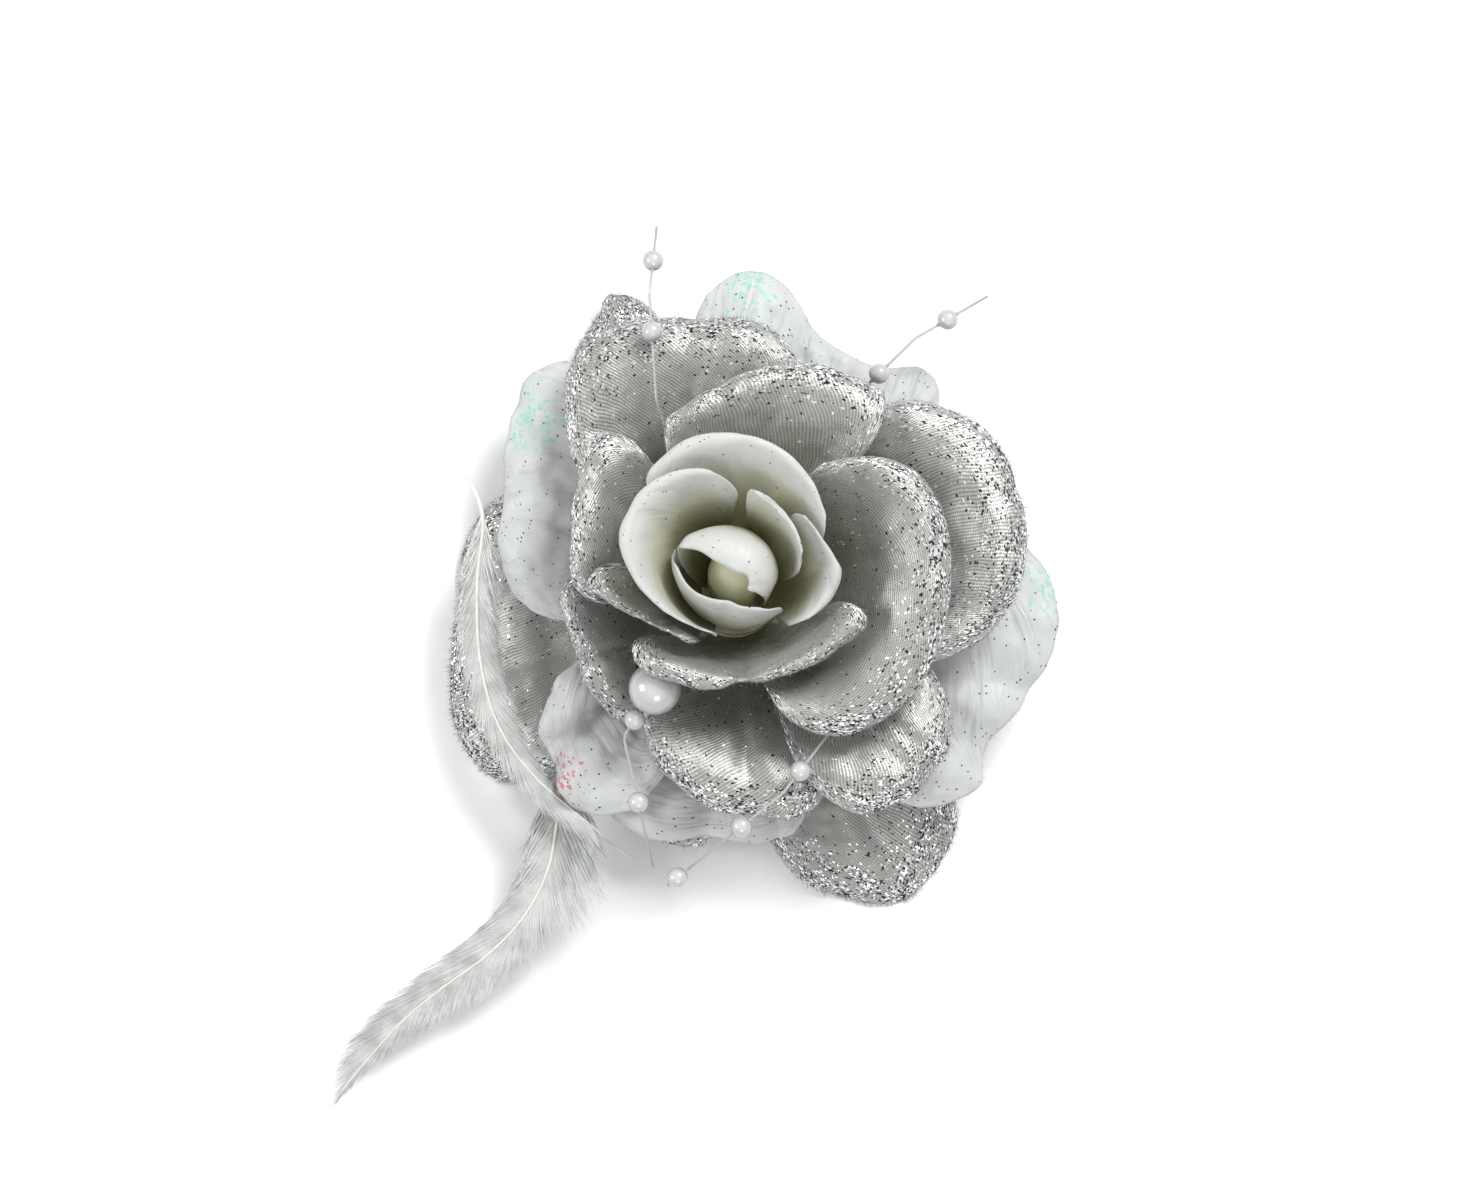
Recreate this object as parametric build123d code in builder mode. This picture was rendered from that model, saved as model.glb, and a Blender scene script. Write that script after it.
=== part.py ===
from build123d import *
from math import cos, radians, sin
import os

# Flower hair clip: a fabric rose with pearl sprays and feathers, glued to a felt disc on an alligator clip.
# Millimetres.  +Z is the way the flower faces, X runs along the clip, and the origin is the point where the
# flower's axis meets the surface that the clip's flat lower jaw rests on.

os.makedirs("parts", exist_ok=True)

# ---- driving dimensions ----------------------------------------------------------------------------------
# clip
clip_length = 58.0
clip_width = 9.0
clip_front = 39.0             # x of the tip
sheet = 0.6                   # sprung steel strip
jaw_gap = 7.4                 # between the two strips at the levers
belly_front = 8.0             # x where the lower jaw leaves its flat run
tip_clearance = 0.15          # closed teeth to upper strip
hinge_x = -2.0
ear_radius = 2.4
ear_clearance = 0.1           # lower ears turn inside the upper ears
pin_diameter = 1.8
pin_clearance = 0.05
rivet_head = 2.8
rivet_head_height = 0.5
tooth_count = 5
tooth_pitch = 3.0
tooth_height = 1.0
spring_wire = 0.7
spring_radius = 2.0           # middle of the wire
spring_turns = 4.5
spring_pitch = 0.85
spring_leg = 12.0
spring_knee = 2.0             # straight wire between the coil and the leg's bend
spring_bend = 1.5

# felt, glue and core
felt_radius = 20.0
felt_thickness = 1.4
glue_radius = 12.0
glue_thickness = 0.4
core_radius = 8.9
core_height = 12.0            # wide lower part that carries the open petals
neck_radius = 6.1
neck_height = 3.0             # carries the bud petals
bud_core_radius = 5.1
bud_core_height = 13.0        # up to the dome
glue_line = 0.1               # bud petal foot to core

# petals
petal_thickness = 0.5
flower_radius = 60.0          # the size that the petal, feather and spray reaches below are for
flower_reach = 60.0           # the size to build

# pearls and feathers
stem_gap = 0.1                # core to the end of a stem or quill, filled with glue
bead_diameter = 4.0
bead_hole = 0.7
pearl_diameter = 10.0
filament = 0.5
quill = 0.8
vane_thickness = 0.4

# ---- worked out -------------------------------------------------------------------------------------------
upper_jaw_base = sheet + jaw_gap
upper_jaw_top = upper_jaw_base + sheet
hinge_z = (sheet + upper_jaw_base) / 2
clip_rear = clip_front - clip_length
felt_top = upper_jaw_top + felt_thickness
core_base = felt_top + glue_thickness
spread = flower_reach / flower_radius
foot_radius = core_radius + petal_thickness / 2
bud_foot_radius = neck_radius + petal_thickness / 2 + glue_line


# ---- clip -------------------------------------------------------------------------------------------------
with BuildPart() as upper_jaw:
    with BuildSketch(Plane.XY.offset(upper_jaw_base)):
        with Locations(((clip_rear + clip_front) / 2, 0)):
            SlotOverall(clip_length, clip_width)
    extrude(amount=sheet)
    for side in (-1, 1):
        with BuildSketch(Plane.XZ.offset(-side * clip_width / 2)):
            with Locations((hinge_x, hinge_z)):
                Circle(ear_radius)
            with Locations((hinge_x, (hinge_z + upper_jaw_base) / 2)):
                Rectangle(2 * ear_radius, upper_jaw_base - hinge_z)
            with Locations((hinge_x, hinge_z)):
                Circle(pin_diameter / 2 + pin_clearance, mode=Mode.SUBTRACT)
        extrude(amount=side * sheet)

lower_ear_outside = clip_width / 2 - sheet - ear_clearance
jaw_tip_z = upper_jaw_base - tip_clearance - tooth_height - sheet / 2
teeth_front = clip_front - clip_width / 2
jaw_slope = (jaw_tip_z - sheet / 2) / (clip_front - belly_front)

with BuildPart() as lower_jaw:
    with BuildSketch(Plane.XZ):
        with BuildLine():
            Polyline(
                (clip_rear, sheet / 2),
                (belly_front, sheet / 2),
                (clip_front, jaw_tip_z),
            )
        trace(line_width=sheet)
    extrude(amount=clip_width / 2, both=True)
    for side in (-1, 1):
        with BuildSketch(Plane.XZ.offset(-side * lower_ear_outside)):
            with Locations((hinge_x, hinge_z)):
                Circle(ear_radius)
            with Locations((hinge_x, (hinge_z + sheet / 2) / 2)):
                Rectangle(2 * ear_radius, hinge_z - sheet / 2)
            with Locations((hinge_x, hinge_z)):
                Circle(pin_diameter / 2 + pin_clearance, mode=Mode.SUBTRACT)
        extrude(amount=side * sheet)
    for side in (-1, 1):
        for tooth in range(tooth_count):
            tooth_x = teeth_front - tooth * tooth_pitch
            tooth_base = sheet / 2 + jaw_slope * (tooth_x - belly_front)
            with BuildSketch(Plane.XZ.offset(-side * clip_width / 2)):
                with BuildLine():
                    Polyline(
                        (tooth_x, tooth_base),
                        (tooth_x + tooth_pitch / 2, tooth_base + jaw_slope * tooth_pitch / 2),
                        (tooth_x, tooth_base + sheet / 2 + tooth_height),
                        (tooth_x - tooth_pitch / 2, tooth_base - jaw_slope * tooth_pitch / 2),
                        close=True,
                    )
                make_face()
            extrude(amount=side * sheet)
    with BuildSketch(Plane.XY):
        with Locations(((clip_rear + clip_front) / 2, 0)):
            SlotOverall(clip_length, clip_width)
    extrude(amount=upper_jaw_base, mode=Mode.INTERSECT)

with BuildPart() as hinge_pin:
    with BuildSketch(Plane.XZ):
        with Locations((hinge_x, hinge_z)):
            Circle(pin_diameter / 2)
    extrude(amount=clip_width / 2, both=True)
    for side in (-1, 1):
        with BuildSketch(Plane.XZ.offset(-side * clip_width / 2)):
            with Locations((hinge_x, hinge_z)):
                Circle(rivet_head / 2)
        extrude(amount=-side * rivet_head_height)
    fillet(hinge_pin.edges().group_by(Axis.Y)[0] + hinge_pin.edges().group_by(Axis.Y)[-1],
           rivet_head_height / 2)

# The wound spring sits on the pin, and its two legs push the levers apart.
coil_length = spring_turns * spring_pitch
coil_start = (hinge_x, -coil_length / 2, hinge_z)
leg_end_x = hinge_x - spring_leg

with BuildPart() as spring:
    with BuildLine() as coil:
        Helix(spring_pitch, coil_length, spring_radius, center=coil_start, direction=(0, 1, 0))
    with BuildSketch(Plane(coil.line @ 0, z_dir=coil.line % 0)):
        Circle(spring_wire / 2)
    sweep(path=coil.line)
    leg_starts = (coil.line @ 0, coil.line @ 1)
    leg_ways = (-(coil.line % 0), coil.line % 1)
    leg_heights = (upper_jaw_base - spring_wire / 2, sheet + spring_wire / 2)
    for start, way, end_z in zip(leg_starts, leg_ways, leg_heights):
        knee = start + way * spring_knee
        with BuildLine() as leg:
            FilletPolyline(start, knee, (leg_end_x, knee.Y, end_z), radius=spring_bend)
        with BuildSketch(Plane(start, z_dir=way)):
            Circle(spring_wire / 2)
        sweep(path=leg.line)

# ---- felt, glue and core ----------------------------------------------------------------------------------
with BuildPart() as felt_disc:
    with BuildSketch(Plane.XY.offset(upper_jaw_top)):
        Circle(felt_radius)
    extrude(amount=felt_thickness)

with BuildPart() as glue_pad:
    with BuildSketch(Plane.XY.offset(felt_top)):
        Circle(glue_radius)
    extrude(amount=glue_thickness)
    fillet(glue_pad.edges().group_by(Axis.Z)[-1], glue_thickness / 2)

neck_base = core_base + core_height - glue_thickness
neck_top = neck_base + neck_height

with BuildPart() as flower_core:
    with BuildSketch(Plane.XY.offset(core_base)):
        Circle(core_radius)
    extrude(amount=neck_base - core_base)
    with BuildSketch(Plane.XY.offset(neck_base)):
        Circle(neck_radius)
    extrude(amount=neck_height)
    with BuildSketch(Plane.XY.offset(neck_top)):
        Circle(bud_core_radius)
    extrude(amount=bud_core_height)
    with Locations((0, 0, neck_top + bud_core_height)):
        Sphere(bud_core_radius)


# ---- petals -----------------------------------------------------------------------------------------------
# A petal is one thin sheet.  Its free edge is a list of (azimuth, radius, height above the felt).  From its
# foot on the core the sheet runs out over its belly, rises to a crest and rolls over to the free edge.  The
# crest is set back from the edge by a share of the petal's reach, and stands `rise` above the edge.
def petal_rows(edge, foot, belly, set_back, rise, foot_share=0.5):
    turned = [edge[0]]
    for azimuth, radius, height in edge[1:]:
        step = (azimuth - turned[-1][0] + 180) % 360 - 180
        turned.append((turned[-1][0] + step, radius, height))
    middle = (turned[0][0] + turned[-1][0]) / 2

    def at(azimuth, radius, height, share):
        angle = radians(middle + (azimuth - middle) * share)
        return Vector(radius * cos(angle), radius * sin(angle), felt_top + height)

    foot_at, foot_height = foot
    belly_at, belly_height = belly
    return [
        [at(a, foot_at, foot_height, foot_share) for a, r, h in turned],
        [at(a, belly_at * spread, belly_height, (1 + foot_share) / 2) for a, r, h in turned],
        [at(a, (r - set_back * (r - belly_at)) * spread, h + rise, 1) for a, r, h in turned],
        [at(a, r * spread, h, 1) for a, r, h in turned],
    ]


def along(row, share):
    """Point at a share of the way along a smooth curve through a row of points."""
    last = len(row) - 1
    place = min(max(share, 0), 1) * last
    i = min(int(place), last - 1)
    f = place - i
    a, b, c, d = row[max(i - 1, 0)], row[i], row[i + 1], row[min(i + 2, last)]
    return (b * 2 + (c - a) * f + (a * 2 - b * 5 + c * 4 - d) * f**2 + (b * 3 - a - c * 3 + d) * f**3) * 0.5


def petal_point(rows, across, out):
    foot, belly, crest, edge = (along(row, across) for row in rows)
    back = 1 - out
    return foot * back**3 + belly * (3 * out * back**2) + crest * (3 * out**2 * back) + edge * out**3


def petal_face(rows, lift):
    """One side of a petal: the mid-surface moved by `lift` along its normal."""
    columns = 12
    steps = 8
    nudge = 0.001
    grid = []
    for j in range(steps + 1):
        out = j / steps
        line = []
        for i in range(columns + 1):
            across = i / columns
            run = petal_point(rows, min(across + nudge, 1), out) - petal_point(rows, max(across - nudge, 0), out)
            rise = petal_point(rows, across, min(out + nudge, 1)) - petal_point(rows, across, max(out - nudge, 0))
            line.append(petal_point(rows, across, out) + run.cross(rise).normalized() * lift)
        grid.append(line)
    return Face.make_surface_from_array_of_points(grid, tol=0.02)


def make_petal(name, rows):
    top = petal_face(rows, petal_thickness / 2)
    bottom = petal_face(rows, -petal_thickness / 2)
    walls = []
    for edge in top.edges():
        below = bottom.edges().sort_by_distance(edge @ 0.5)[0]
        walls.append(Face.make_surface_from_curves(edge, below))
    with BuildPart() as petal:
        add(Solid(Shell([top, bottom] + walls)))
    petal.part.label = name
    export_step(petal.part, f"parts/{name}.step")


# Back layer: five silver petals that droop, three of them down to the table.
back_edges = {
    "silver_back_1": [(135, 44, -1), (124, 58, -4), (116, 65, -5), (111, 68, -5), (105, 63, -4), (97, 48, -1)],
    "silver_back_2": [(142, 40, -1), (154, 52, -5), (166, 56, -7), (178, 56, -8), (190, 58, -8.8),
                      (202, 61, -9), (213, 60, -9), (222, 53, -6), (231, 40, -2)],
    "silver_back_3": [(275, 42, -2), (281, 53, -6), (288, 60, -8), (298, 67, -9), (307, 66, -9),
                      (317, 60, -7), (327, 46, -2)],
    "silver_back_4": [(238, 42, 0), (248, 48, -1.5), (260, 50, -2), (272, 44, -1)],
    "silver_back_5": [(336, 42, -1), (352, 53, -5), (12, 57, -7), (32, 55, -7), (50, 49, -4), (64, 40, -1)],
}
for name, edge in back_edges.items():
    make_petal(name, petal_rows(edge, (foot_radius, 1.5), (24, 3.6), 0.36, 6))

# White satin layer: five petals, with the last three lapping over and under each other.
white_petals = {
    "white_outer_1": ([(106, 44, 9), (98, 56, 10), (92, 62, 10), (84, 64, 10), (75, 59, 9), (66, 54, 8),
                       (58, 54, 8), (50, 58, 8), (43, 55, 8), (34, 42, 8)], 3.4, (24, 5.4), 0.38, 6),
    "white_outer_2": ([(112, 42, 8), (124, 56, 8), (133, 59, 8), (143, 56, 8), (155, 51, 8), (168, 47, 8),
                       (180, 43, 7), (193, 36, 7)], 3.4, (24, 5.4), 0.38, 6),
    "white_outer_3": ([(24, 44, 8), (13, 55, 8), (3, 62, 8), (352, 63, 8), (341, 61, 7), (331, 58, 6),
                       (322, 61, 6), (312, 56, 6), (304, 48, 6), (297, 40, 6)], 4.2, (24, 6.2), 0.38, 7),
    "white_outer_4": ([(200, 32, 10), (209, 40, 12), (217, 47, 12), (226, 51, 10), (235, 52, 9),
                       (244, 48, 9), (252, 38, 10)], 4.2, (20, 5.8), 0.42, 5),
    "white_outer_5": ([(230, 38, 1), (238, 48, 3), (250, 50, 4), (264, 49, 5), (278, 49, 5), (286, 47, 4),
                       (293, 40, 2)], 2.6, (24, 4.6), 0.38, 5),
}
for name, (edge, foot_height, belly, set_back, rise) in white_petals.items():
    make_petal(name, petal_rows(edge, (foot_radius, foot_height), belly, set_back, rise))

# Silver layers: six outer petals and four inner ones that cup the bud.
silver_petals = {
    "silver_outer_1": ([(152, 34, 18), (139, 44, 20), (129, 52, 21), (119, 55, 22), (107, 54, 23),
                        (95, 52, 23), (84, 51, 23), (74, 46, 21), (66, 38, 17)], 6.2, (22, 8), 0.38, 8),
    "silver_outer_2": ([(122, 27, 27), (114, 33, 28), (105, 35, 29), (92, 38, 29), (78, 42, 29),
                        (64, 44, 29), (50, 45, 29), (40, 38, 28)], 8.8, (20, 12), 0.42, 9),
    "silver_outer_3": ([(64, 36, 21), (52, 44, 23), (41, 52, 24), (28, 57, 24), (14, 57, 24), (1, 55, 23),
                        (350, 51, 22), (338, 43, 21), (326, 34, 19)], 8.0, (22, 10), 0.38, 9),
    "silver_outer_4": ([(346, 34, 14), (333, 46, 16), (321, 52, 18), (309, 53, 18), (297, 50, 18),
                        (286, 40, 17)], 7.1, (22, 9.1), 0.38, 7),
    "silver_outer_5": ([(302, 36, 10), (293, 44, 12.6), (282, 46, 15), (266, 44, 16), (252, 40, 17),
                        (240, 35, 18), (230, 28, 18)], 6.4, (21, 8.2), 0.42, 7),
    "silver_outer_6": ([(246, 27, 12), (239, 32, 14), (228, 35, 17), (212, 35, 20), (199, 34, 22),
                        (186, 34, 23), (172, 30, 22)], 5.4, (20, 7.8), 0.45, 7),
    "silver_inner_1": ([(60, 18, 32), (48, 28, 34), (36, 36, 35), (22, 40, 34), (6, 41, 33), (350, 41, 32),
                        (334, 41, 30), (318, 40, 28), (304, 37, 26), (291, 31, 25), (279, 23, 25)],
                       9.6, (19, 12), 0.55, 9),
    "silver_inner_2": ([(210, 29, 30), (228, 26, 32), (246, 24, 32), (264, 23, 32), (284, 22.5, 32),
                        (304, 23, 32), (322, 25, 32), (336, 27, 32), (348, 27, 31)],
                       10.6, (16.5, 14), 0.7, 9),
    "silver_inner_3": ([(174, 25, 32), (186, 28, 33), (198, 24, 33), (212, 20, 33), (230, 17, 33),
                        (246, 16, 32)], 11.5, (14, 16), 0.5, 6),
    "silver_inner_4": ([(196, 28, 26), (184, 31, 28), (170, 32, 30), (156, 34, 31), (142, 37, 31),
                        (132, 37, 30), (124, 30, 28)], 8.8, (18, 11), 0.5, 8),
}
for name, (edge, foot_height, belly, set_back, rise) in silver_petals.items():
    make_petal(name, petal_rows(edge, (foot_radius, foot_height), belly, set_back, rise))

# Bud: three outer petals rolled outwards, two inner ones, and the cap folded over the heart.
bud_petals = {
    "bud_outer_1": ([(146, 22, 35), (134, 23.5, 41), (112, 24, 45), (90, 23.5, 46), (70, 22.5, 46),
                     (50, 21, 44), (30, 19.5, 41), (12, 18.8, 37)], 13, (15, 17), 0.62, 6),
    "bud_outer_2": ([(84, 14.5, 43), (108, 17.5, 45), (130, 20.5, 45), (150, 22, 44), (170, 22, 43),
                     (190, 19.5, 41), (212, 16.5, 39), (236, 14, 36), (258, 12.8, 33)],
                    14, (13.2, 20), 0.62, 6),
    "bud_outer_3": ([(44, 15, 40), (30, 16, 40), (14, 17.4, 39), (358, 20, 37), (345, 19.4, 34),
                     (330, 17.5, 32), (314, 15.5, 30)], 14, (13.6, 19), 0.6, 5),
    "bud_inner_1": ([(82, 13.6, 44), (68, 13, 44), (50, 12.6, 43), (30, 12.6, 42), (12, 12.6, 41),
                     (354, 12.2, 39)], 14.8, (12, 24), 0.4, 4),
    "bud_inner_2": ([(156, 12.4, 37), (176, 11.4, 37), (195, 10.4, 37), (213, 9.2, 36.5), (233, 7.9, 36),
                     (257, 7.3, 36), (282, 8.3, 36), (306, 9.9, 35.5), (326, 11.2, 35)],
                    15.1, (12, 23.4), 0.3, -3),
}
for name, (edge, foot_height, belly, set_back, rise) in bud_petals.items():
    make_petal(name, petal_rows(edge, (bud_foot_radius, foot_height), belly, set_back, rise, 0.8))

# The heart's cap is a sheet laid over the bud core from behind, given by its four rows of points.
heart_rows = [
    [(-5.6, -0.5, 15.5), (-5.2, 3, 15.5), (-2, 5.4, 15.5), (1.8, 5.4, 15.5), (4.6, 3.4, 15.5),
     (5.7, -0.4, 15.5), (4.2, -4, 15.5)],
    [(-10, -0.5, 27), (-9.6, 5.6, 27), (-3.6, 10, 27), (3, 9.6, 27), (7.8, 5.4, 27), (9.4, -0.6, 27),
     (7, -6, 27)],
    [(-11.4, 3.4, 38.5), (-9.6, 8, 41), (-3.6, 9.6, 43), (2.2, 8.6, 44), (7, 4.8, 43), (8.4, -0.2, 41),
     (6.2, -5.2, 38.5)],
    [(-11, 3, 38.2), (-7, 2.2, 40), (-3.6, 0, 41), (-0.4, -1.8, 41), (2, -2.6, 40.5), (2.6, -4, 39.4),
     (1.8, -5.6, 38)],
]
make_petal("bud_heart", [[Vector(x, y, felt_top + z) for x, y, z in row] for row in heart_rows])

# ---- pearl sprays -----------------------------------------------------------------------------------------
# Stiff nylon stems with drilled beads glued on.  A stem leaves the core at (azimuth, height above the felt),
# and its route is straight runs joined by arcs through (x, y, height).  A bead sits on a straight run:
# (run number, share of the way along it).
sprays = {
    "spray_1": ((115, 8.2), [(-8, 17, 11.3), (-12, 26, 18), (-15, 34, 26), (-16.3, 54, 29.5),
                 (-15, 68, 27.5)], [(3, 0.65), (4, 0.5)]),
    "spray_2": ((58, 7), [(13, 20, 9.5), (20, 31, 14), (25, 38.5, 17.3), (35, 48, 19.5),
                 (49, 56, 21)], [(3, 0.3), (4, 0.45)]),
    "spray_3": (None, [(-15, -21.5, 26), (-21, -30.2, 22.1), (-15.5, -54, 14)], [(0, 0.64), (1, 0.5)]),
    "spray_4": ((302, 9), [(10, -14.5, 11.5), (14, -21, 14.5), (18.5, -28.5, 21.5), (9, -41, 23),
                 (-12.6, -57.3, 13)], [(3, 0.65), (4, 0.36), (4, 0.92)]),
}
bend_radius = 3.0


def from_core(azimuth, height):
    """The point beside the core where a stem or quill is glued in."""
    reach = core_radius + stem_gap
    return Vector(reach * cos(radians(azimuth)), reach * sin(radians(azimuth)), felt_top + height)


def spray_points(name):
    leaves, route, beaded = sprays[name]
    start = [from_core(*leaves)] if leaves else []
    return start + [Vector(x * spread, y * spread, felt_top + z) for x, y, z in route]


for name, (leaves, route, beaded) in sprays.items():
    points = spray_points(name)
    with BuildPart() as stem:
        with BuildLine() as stem_path:
            FilletPolyline(*points, radius=bend_radius)
        with BuildSketch(Plane(points[0], z_dir=points[1] - points[0])):
            Circle(filament / 2)
        sweep(path=stem_path.line)
    stem.part.label = name
    export_step(stem.part, f"parts/{name}.step")

    with BuildPart() as beads:
        for run, share in beaded:
            along_run = points[run + 1] - points[run]
            with Locations(Plane(points[run] + along_run * share, z_dir=along_run)):
                Sphere(bead_diameter / 2)
                Cylinder(bead_hole / 2, bead_diameter, mode=Mode.SUBTRACT)
    beads.part.label = f"{name}_beads"
    export_step(beads.part, f"parts/{name}_beads.step")

# The large pearl ends the third spray, glued under the lip of the petal above it.
pearl_stem = spray_points("spray_3")
with BuildPart() as large_pearl:
    with Locations(Plane(pearl_stem[0], z_dir=pearl_stem[1] - pearl_stem[0])):
        Sphere(pearl_diameter / 2)
        Cylinder(bead_hole / 2, pearl_diameter, mode=Mode.SUBTRACT)

# ---- feathers ---------------------------------------------------------------------------------------------
# Each vane is a thin curved blade, and its quill lies along its top.  A feather lies in a plane that has
# `level` above the felt on the flower's axis and climbs by `slope` along X and Y.  The long feather's quill
# runs in under the petals to the core; the short one's bare quill stands out past its downy end.
feathers = {
    "feather_short": dict(
        level=6.0,
        slope=(0, 0),
        leaves=None,
        hidden_quill=[],
        quill=[(-54, 26), (-49.5, 16), (-50.3, 2), (-49.5, -13), (-45.7, -26), (-38.5, -36), (-28, -45)],
        left=[(-49, 15), (-53, 5), (-53.5, -12), (-49, -28), (-39, -41), (-25, -51)],
        right=[(-20.5, -51.5), (-33, -40.5), (-41, -27), (-45.5, -13), (-46.5, 1), (-45, 11)],
    ),
    "feather_long": dict(
        level=7.0,
        slope=(0.07, 0.088),
        leaves=(225, 3.2),
        hidden_quill=[(-20, -19, 3.9)],
        quill=[(-33, -31), (-34.5, -42), (-36.5, -53), (-41, -62), (-48, -69.5), (-57, -76), (-65, -82.5),
               (-71.5, -89.5), (-77, -96)],
        left=[(-34, -34), (-40, -45), (-43, -56), (-51, -65.5), (-64, -75), (-73.5, -84), (-77, -91),
              (-78, -98)],
        right=[(-78, -98), (-67, -88.5), (-57, -82.5), (-47, -77.5), (-37, -69), (-28.5, -60), (-27, -47),
               (-31, -35)],
    ),
}
quill_bend = 14.0
quill_lift = vane_thickness + quill / 2


def outline(points):
    return [(x * spread, y * spread) for x, y in points]


for name, feather in feathers.items():
    slope_x, slope_y = feather["slope"]
    vane_plane = Plane(
        (0, 0, felt_top + feather["level"]),
        x_dir=(1, 0, slope_x),
        z_dir=(-slope_x, -slope_y, 1),
    )
    left_side = outline(feather["left"])
    right_side = outline(feather["right"])
    with BuildPart() as vane:
        with BuildSketch(vane_plane):
            with BuildLine():
                left_edge = Spline(*left_side)
                right_edge = Spline(*right_side)
                if (left_edge @ 1 - right_edge @ 0).length > 0:
                    Line(left_edge @ 1, right_edge @ 0)
                Line(right_edge @ 1, left_edge @ 0)
            make_face()
        extrude(amount=vane_thickness)
    vane.part.label = f"{name}_vane"
    export_step(vane.part, f"parts/{name}_vane.step")

    start = [from_core(*feather["leaves"])] if feather["leaves"] else []
    hidden = [Vector(x * spread, y * spread, felt_top + z) for x, y, z in feather["hidden_quill"]]
    shown = [vane_plane.from_local_coords(Vector(x, y, quill_lift)) for x, y in outline(feather["quill"])]
    quill_points = start + hidden + shown
    with BuildPart() as shaft:
        with BuildLine() as shaft_path:
            FilletPolyline(*quill_points, radius=quill_bend)
        with BuildSketch(Plane(quill_points[0], z_dir=quill_points[1] - quill_points[0])):
            Circle(quill / 2)
        sweep(path=shaft_path.line)
    shaft.part.label = f"{name}_quill"
    export_step(shaft.part, f"parts/{name}_quill.step")

pieces = {
    "upper_jaw": upper_jaw,
    "lower_jaw": lower_jaw,
    "hinge_pin": hinge_pin,
    "spring": spring,
    "felt_disc": felt_disc,
    "glue_pad": glue_pad,
    "flower_core": flower_core,
    "large_pearl": large_pearl,
}
for name, piece in pieces.items():
    piece.part.label = name
    export_step(piece.part, f"parts/{name}.step")
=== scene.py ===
import math
import random

import bmesh
import bpy
from mathutils import Matrix, Vector, noise


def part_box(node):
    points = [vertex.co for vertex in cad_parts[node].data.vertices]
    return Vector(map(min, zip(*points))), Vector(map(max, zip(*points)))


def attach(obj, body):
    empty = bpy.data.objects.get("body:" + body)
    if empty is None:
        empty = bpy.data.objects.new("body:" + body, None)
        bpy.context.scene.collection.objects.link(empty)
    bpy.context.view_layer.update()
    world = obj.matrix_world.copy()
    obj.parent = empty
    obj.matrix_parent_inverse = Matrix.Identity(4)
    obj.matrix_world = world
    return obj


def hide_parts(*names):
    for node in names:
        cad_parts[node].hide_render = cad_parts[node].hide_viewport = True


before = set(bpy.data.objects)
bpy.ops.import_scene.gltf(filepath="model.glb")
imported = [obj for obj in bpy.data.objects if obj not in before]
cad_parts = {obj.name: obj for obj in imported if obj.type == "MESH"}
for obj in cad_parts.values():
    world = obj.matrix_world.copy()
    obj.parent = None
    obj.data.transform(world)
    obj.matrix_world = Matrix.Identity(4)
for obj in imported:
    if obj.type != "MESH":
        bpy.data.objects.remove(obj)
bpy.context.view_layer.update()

MM = 0.001


# ---- Camera, floor and light ------------------------------------------------------------------------------
# A long lens nearly straight above the bloom, a white sheet of paper as the floor, and large soft lamps.
look_at = Vector((-1.1, -2.6, 25.0)) * MM
camera_rise = math.radians(80)
camera_distance = 600 * MM
towards_camera = Vector((0, -math.cos(camera_rise), math.sin(camera_rise)))

camera = bpy.data.objects.new("camera", bpy.data.cameras.new("camera"))
bpy.context.collection.objects.link(camera)
camera.data.lens = 77
camera.data.sensor_width = 36
camera.data.clip_start = 0.01
camera.location = look_at + towards_camera * camera_distance
camera.rotation_euler = (-towards_camera).to_track_quat("-Z", "Y").to_euler()
bpy.context.scene.camera = camera
bpy.context.scene.view_settings.view_transform = "Standard"


def add_node(nodes, kind, **sockets):
    """A new shader node with its inputs set; a space in an input's name is written as an underscore."""
    made = nodes.new("ShaderNode" + kind)
    for socket, value in sockets.items():
        made.inputs[socket.replace("_", " ")].default_value = value
    return made


def new_material(name, colour, roughness, **sockets):
    """A named finish; returns the material, its nodes, its links and its Principled shader."""
    made = bpy.data.materials.new(name)
    made.use_nodes = True
    shader = made.node_tree.nodes["Principled BSDF"]
    shader.inputs["Base Color"].default_value = (*colour, 1)
    shader.inputs["Roughness"].default_value = roughness
    for socket, value in sockets.items():
        shader.inputs[socket.replace("_", " ")].default_value = value
    return made, made.node_tree.nodes, made.node_tree.links, shader


def finish_mesh(name, bm, material):
    """Turns a bmesh into a linked, smooth-shaded object with one material."""
    mesh = bpy.data.meshes.new(name)
    for face in bm.faces:
        face.smooth = True
    bm.to_mesh(mesh)
    bm.free()
    piece = bpy.data.objects.new(name, mesh)
    bpy.context.collection.objects.link(piece)
    piece.data.materials.append(material)
    return piece


paper, nodes, links, shader = new_material("white_paper", (0.93, 0.93, 0.93), 0.7)
grain = add_node(nodes, "TexNoise", Scale=900)
tooth = add_node(nodes, "Bump", Strength=0.03)
links.new(nodes.new("ShaderNodeTexCoord").outputs["Object"], grain.inputs["Vector"])
links.new(grain.outputs["Fac"], tooth.inputs["Height"])
links.new(tooth.outputs["Normal"], shader.inputs["Normal"])
paper_drop = 0.15 * MM
bm = bmesh.new()
bmesh.ops.create_grid(bm, x_segments=2, y_segments=2, size=2.0,
                      matrix=Matrix.Translation((0, 0, -paper_drop)))
floor = finish_mesh("floor", bm, paper)

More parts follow.
